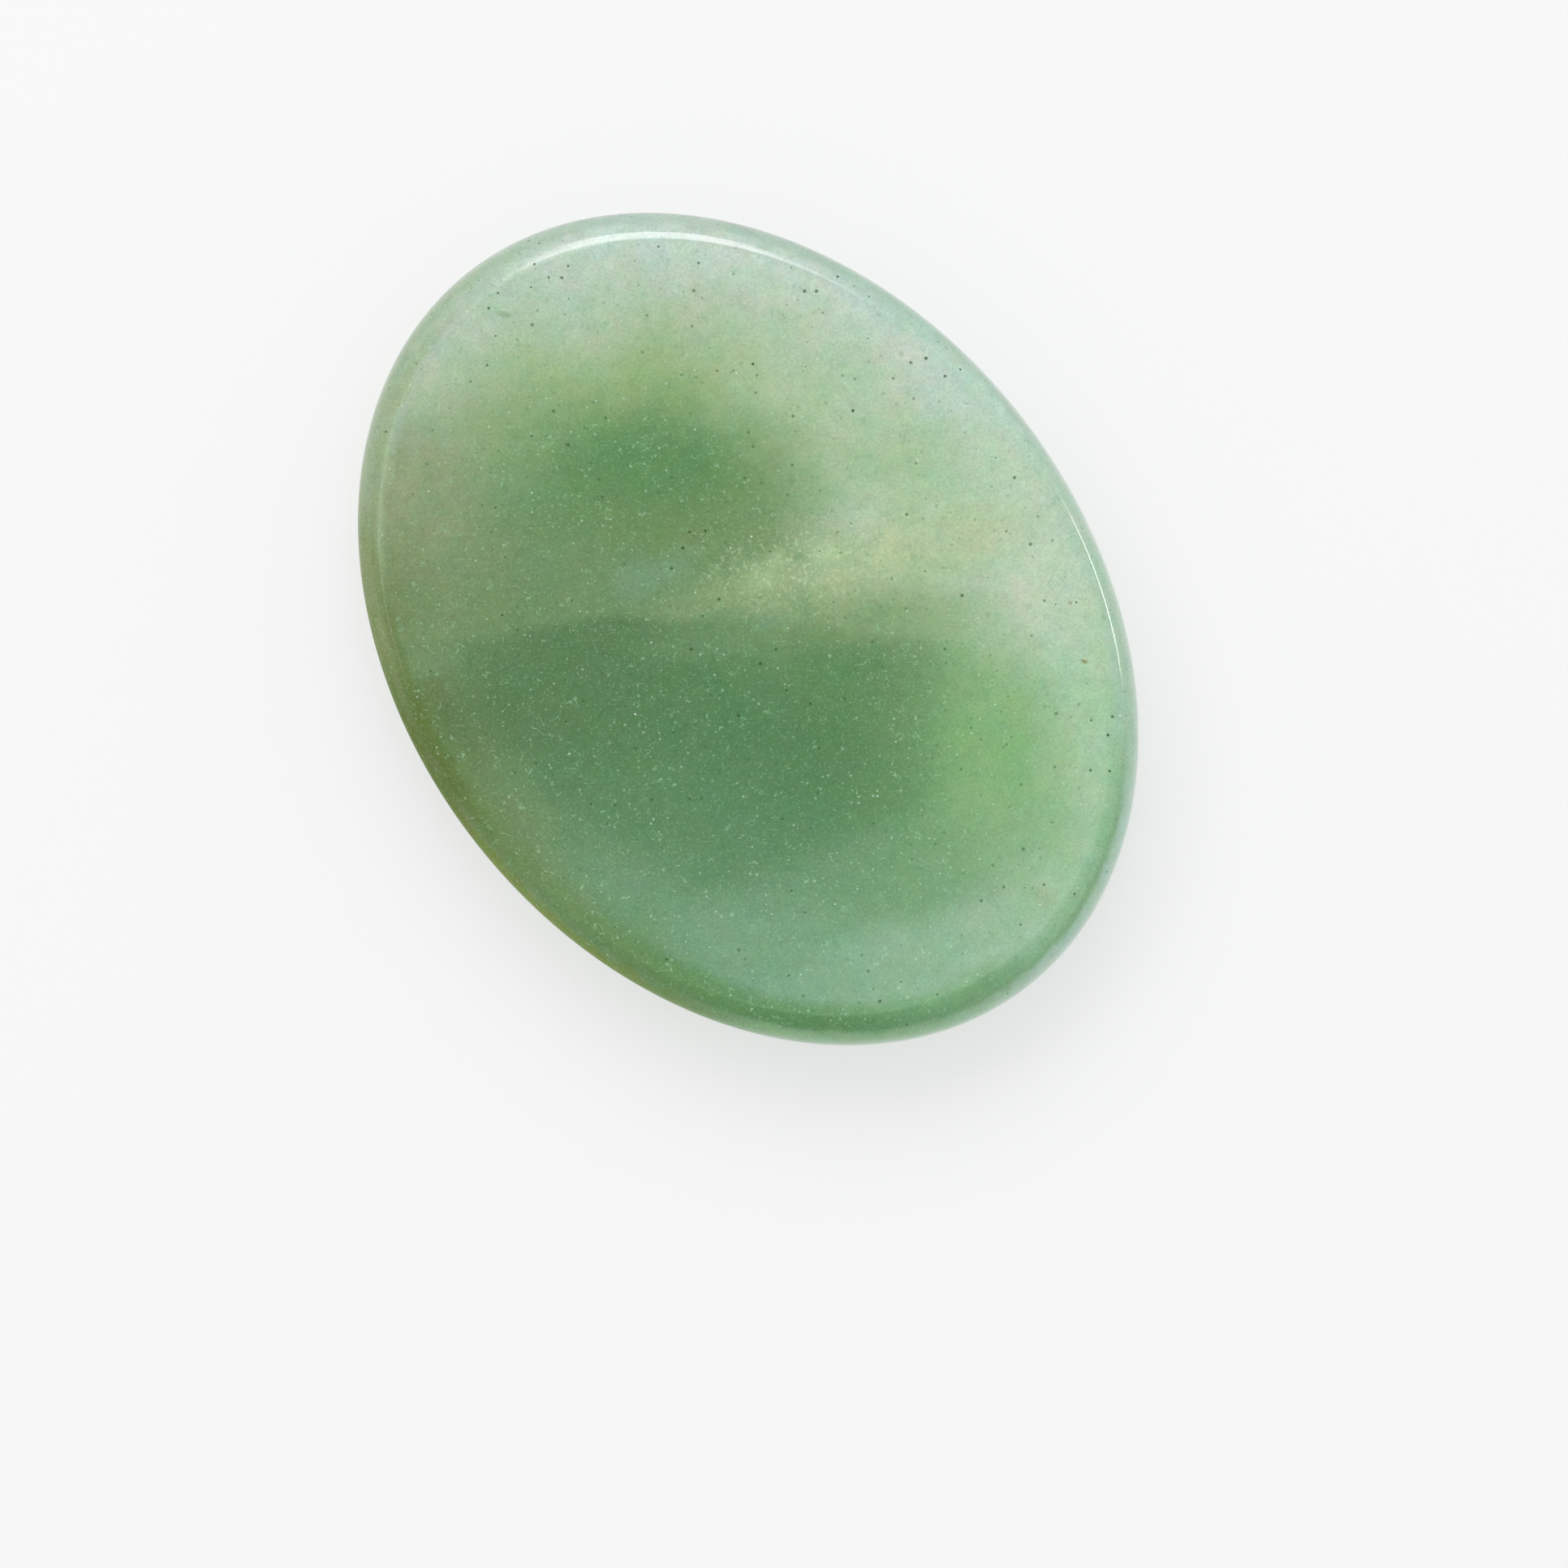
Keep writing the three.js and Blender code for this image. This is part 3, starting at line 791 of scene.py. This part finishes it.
def stone_finish():
    """Cloudy green aventurine under a clear polish, with painted shade, sheen, reflection and glints."""
    material = bpy.data.materials.new("polished aventurine")
    material.use_nodes = True
    tree = material.node_tree
    shader = tree.nodes["Principled BSDF"]
    cloud_group = soft_cloud_group()
    edge_group = soft_edge_group()
    band_group = rim_band_group()
    flecks = fleck_group()

    coordinates = add(tree, "ShaderNodeTexCoord")
    in_mm = vectors(tree, "MULTIPLY", coordinates.outputs["Object"], (1 / MM, 1 / MM, 1 / MM))
    as_seen = add(tree, "ShaderNodeVectorRotate", rotation_type="Z_AXIS", Angle=-ROLL)
    link(tree, in_mm, as_seen.inputs["Vector"])
    point = as_seen.outputs[0]
    inset = use(tree, inset_group(), Point=in_mm)["Inset"]

    def moved(offset):
        return vectors(tree, "ADD", point, offset)

    def noise(pattern):
        node = add(
            tree, "ShaderNodeTexNoise",
            Scale=pattern.scale, Detail=pattern.detail, Roughness=pattern.roughness,
        )
        link(tree, moved(pattern.offset), node.inputs["Vector"])
        return node.outputs

    def strewn(pattern):
        """How fully a pattern shows, from 0 to 1."""
        return ramp(tree, noise(pattern)["Fac"], pattern.start, pattern.end, smooth=pattern.smooth)

    # The clouds' edges and the rim bands wander a little.
    drift = vectors(tree, "SUBTRACT", noise(CLOUD_DRIFT)["Color"], (0.5, 0.5, 0.5))
    wandering = vectors(tree, "MULTIPLY_ADD", drift, CLOUD_WANDER, point)
    flat = vectors(tree, "MULTIPLY", wandering, (1, 1, 0))
    wave = maths(tree, "SUBTRACT", noise(RIM_WAVE)["Fac"], 0.5)
    wavy_inset = maths(tree, "MULTIPLY_ADD", wave, RIM_WANDER, inset)

    colour = base_colour(MILK)
    for cloud in CLOUDS:
        share = use(
            tree, cloud_group, Point=flat, Middle=as_vector(cloud.middle), Half_Size=cloud.half_size + (1,),
            Turn=math.radians(cloud.turn), Softness=cloud.softness,
        )["Share"]
        for edge in cloud.edges:
            kept = use(
                tree, edge_group, Point=flat, On_Edge=as_vector(edge.on_edge),
                Facing=facing_vector(edge.facing), Softness=edge.softness,
            )["Share"]
            share = maths(tree, "MULTIPLY", share, kept)
        share = maths(tree, "MULTIPLY", share, cloud.strength)
        colour = blend(tree, share, colour, base_colour(cloud.tint))

    def along_rim(band):
        share = use(
            tree, band_group, Point=point, Inset=wavy_inset, Band_Inset=band.inset,
            Half_Width=band.half_width, Softness=band.softness, Facing=facing_vector(band.facing),
            Reach=math.radians(band.reach),
        )["Share"]
        return maths(tree, "MULTIPLY", share, band.strength)

    for band in BANDS:
        colour = blend(tree, along_rim(band), colour, base_colour(band.tint))

    for toning in TONINGS:
        factor = blend(tree, strewn(toning.pattern), toning.low + (1,), toning.high + (1,))
        colour = vectors(tree, "MULTIPLY", colour, factor)

    # Pale sugar and short pale curls, which show most over the deep green, and pale crumbs in the streak
    sugar = maths(tree, "MULTIPLY", strewn(SUGAR_GRAIN), SUGAR_STRENGTH)
    colour = blend(tree, sugar, colour, base_colour(SUGAR), "LIGHTEN")
    from_turn = maths(tree, "ABSOLUTE", maths(tree, "SUBTRACT", noise(CURL_WINDING)["Fac"], 0.5))
    line = ramp(tree, from_turn, CURL_WINDING.start, CURL_WINDING.end)
    curls = maths(tree, "MULTIPLY", maths(tree, "MULTIPLY", line, strewn(CURLS_KEPT)), CURL_STRENGTH)
    colour = blend(tree, curls, colour, base_colour(SUGAR), "LIGHTEN")
    in_streak = use(
        tree, cloud_group, Point=flat, Middle=as_vector(CRUMBS.middle), Half_Size=CRUMBS.half_size + (1,),
        Turn=math.radians(CRUMBS.turn), Softness=CRUMBS.softness,
    )["Share"]
    crumbs = maths(tree, "MULTIPLY", strewn(CRUMB_GRAIN), CRUMBS.strength)
    colour = blend(tree, maths(tree, "MULTIPLY", crumbs, in_streak), colour, base_colour(CRUMBS.tint))

    for kind in FLECKS:
        share = use(
            tree, flecks, Point=moved(kind.offset), Spacing=kind.spacing, Radius=kind.radius,
            Softness=kind.softness, Kept=kind.kept,
        )["Share"]
        colour = blend(tree, maths(tree, "MULTIPLY", share, kind.strength), colour, base_colour(kind.tint))

    # The clear polish is the coat, so the layer under it has no highlight of its own.
    link(tree, colour, shader.inputs["Base Color"])
    shader.inputs["Roughness"].default_value = BODY_ROUGHNESS
    shader.inputs["IOR"].default_value = QUARTZ_IOR
    shader.inputs["Specular IOR Level"].default_value = 0.0
    shader.inputs["Subsurface Weight"].default_value = SCATTERED_SHARE
    shader.inputs["Subsurface Radius"].default_value = SCATTERED_REACH
    shader.inputs["Subsurface Scale"].default_value = SCATTER_DEPTH * MM
    link(tree, maths(tree, "SUBTRACT", 1, along_rim(DULL_EDGE)), shader.inputs["Coat Weight"])
    shader.inputs["Coat Roughness"].default_value = POLISH_ROUGHNESS
    shader.inputs["Coat IOR"].default_value = QUARTZ_IOR
    return material


# The floor, the light and the camera

FLOOR_TINT = (0.34, 0.34, 0.34, 1)
FLOOR_ROUGHNESS = 0.7
FLOOR_GLOW = 0.58  # keeps the stone's shadow faint
FLOOR_HALF = 3.0  # metres
SKY_TINT = (0.98, 0.99, 1, 1)
SKY_STRENGTH = 0.68

# The face of a light is one unit wide and high. A feathered light fades from these distances off its
# middle out to its edge.
FACE_EDGE = 0.5
FADE_ALONG = 0.15
FADE_ACROSS = 0.35


def make_floor():
    material = bpy.data.materials.new("pale floor")
    material.use_nodes = True
    shader = material.node_tree.nodes["Principled BSDF"]
    shader.inputs["Base Color"].default_value = FLOOR_TINT
    shader.inputs["Roughness"].default_value = FLOOR_ROUGHNESS
    shader.inputs["Emission Color"].default_value = (1, 1, 1, 1)
    shader.inputs["Emission Strength"].default_value = FLOOR_GLOW
    half = FLOOR_HALF
    mesh = bpy.data.meshes.new("floor")
    corners = [(-half, -half, 0), (half, -half, 0), (half, half, 0), (-half, half, 0)]
    mesh.from_pydata(corners, [], [(0, 1, 2, 3)])
    mesh.materials.append(material)
    floor = bpy.data.objects.new("floor", mesh)
    bpy.context.scene.collection.objects.link(floor)


def soft_light(
    name, azimuth, elevation, distance, size, brightness, colour=(1, 1, 1), feathered=False, twist=0,
):
    """A rectangular studio light aimed at the stone.

    The azimuth is in degrees, anticlockwise from the right of the picture, the elevation is above the
    floor, and the brightness is the radiance of its face, where the lit floor is close to 1. A feathered
    light fades out towards its edges.
    """
    light = bpy.data.lights.new(name, "AREA")
    light.shape = "RECTANGLE"
    light.size, light.size_y = size
    light.energy = brightness * math.pi * size[0] * size[1]
    light.color = colour
    if feathered:
        light.use_nodes = True
        tree = light.node_tree
        emission = tree.nodes["Emission"]
        on_face = add(tree, "ShaderNodeNewGeometry").outputs["Parametric"]
        from_middle = vectors(tree, "ABSOLUTE", vectors(tree, "SUBTRACT", on_face, (0.5, 0.5, 0)))
        parts = add(tree, "ShaderNodeSeparateXYZ")
        link(tree, from_middle, parts.inputs[0])
        along = ramp(tree, parts.outputs[0], FACE_EDGE, FADE_ALONG)
        across = ramp(tree, parts.outputs[1], FACE_EDGE, FADE_ACROSS)
        link(tree, maths(tree, "MULTIPLY", along, across), emission.inputs["Strength"])
    lamp = bpy.data.objects.new(name, light)
    around = math.radians(azimuth) + ROLL
    up = math.radians(elevation)
    toward = Vector((math.cos(around) * math.cos(up), math.sin(around) * math.cos(up), math.sin(up)))
    lamp.location = toward * distance
    lamp.rotation_mode = "QUATERNION"
    lamp.rotation_quaternion = toward.to_track_quat("Z", "Y") @ Quaternion((0, 0, 1), math.radians(twist))
    bpy.context.scene.collection.objects.link(lamp)
    return lamp


def make_light():
    world = bpy.data.worlds.new("studio")
    world.use_nodes = True
    background = world.node_tree.nodes["Background"]
    background.inputs["Color"].default_value = SKY_TINT
    background.inputs["Strength"].default_value = SKY_STRENGTH
    bpy.context.scene.world = world

    # The window lights the stone, and the glare and the side strip are only mirrored in its polish.
    window = soft_light(
        "window", azimuth=108, elevation=48, distance=1.2, size=(1.3, 0.7), brightness=2.2,
    )
    window.visible_glossy = False
    glare = soft_light(
        "window glare", azimuth=93, elevation=50, distance=1.2, size=(0.86, 0.72), brightness=6.2,
        colour=(1, 0.87, 1), feathered=True,
    )
    glare.visible_diffuse = False
    side = soft_light(
        "side strip", azimuth=18, elevation=4, distance=1.0, size=(0.5, 0.14), brightness=11, feathered=True,
    )
    side.visible_diffuse = False
    soft_light("left glow", azimuth=170, elevation=50, distance=1.2, size=(0.7, 0.3), brightness=0.8)
    soft_light(
        "ceiling strip", azimuth=100, elevation=75, distance=1.2, size=(0.6, 0.2), brightness=0.8,
        colour=(0.85, 1, 0.97), feathered=True, twist=20,
    )


def make_camera():
    camera = bpy.data.cameras.new("camera")
    camera.lens = LENS
    camera.sensor_width = SENSOR
    eye = bpy.data.objects.new("camera", camera)
    bpy.context.scene.collection.objects.link(eye)
    seen_width = FRAME_PIXELS / PIXELS_PER_MM * MM
    distance = seen_width / 2 / (SENSOR / 2 / LENS)
    middle = Vector((FRAME_PIXELS / 2, FRAME_PIXELS / 2))
    off = (middle - STONE_SEEN_AT) / PIXELS_PER_MM
    eye.location = seen(off.x, -off.y, GIRTH_HEIGHT) + Vector((0, 0, distance))
    eye.rotation_euler = (0, 0, ROLL)
    bpy.context.scene.camera = eye


stone = make_stone(stone_finish())
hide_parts("palm_stone")
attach(stone, "root")

make_floor()
make_light()
make_camera()
bpy.context.scene.view_settings.view_transform = "Standard"
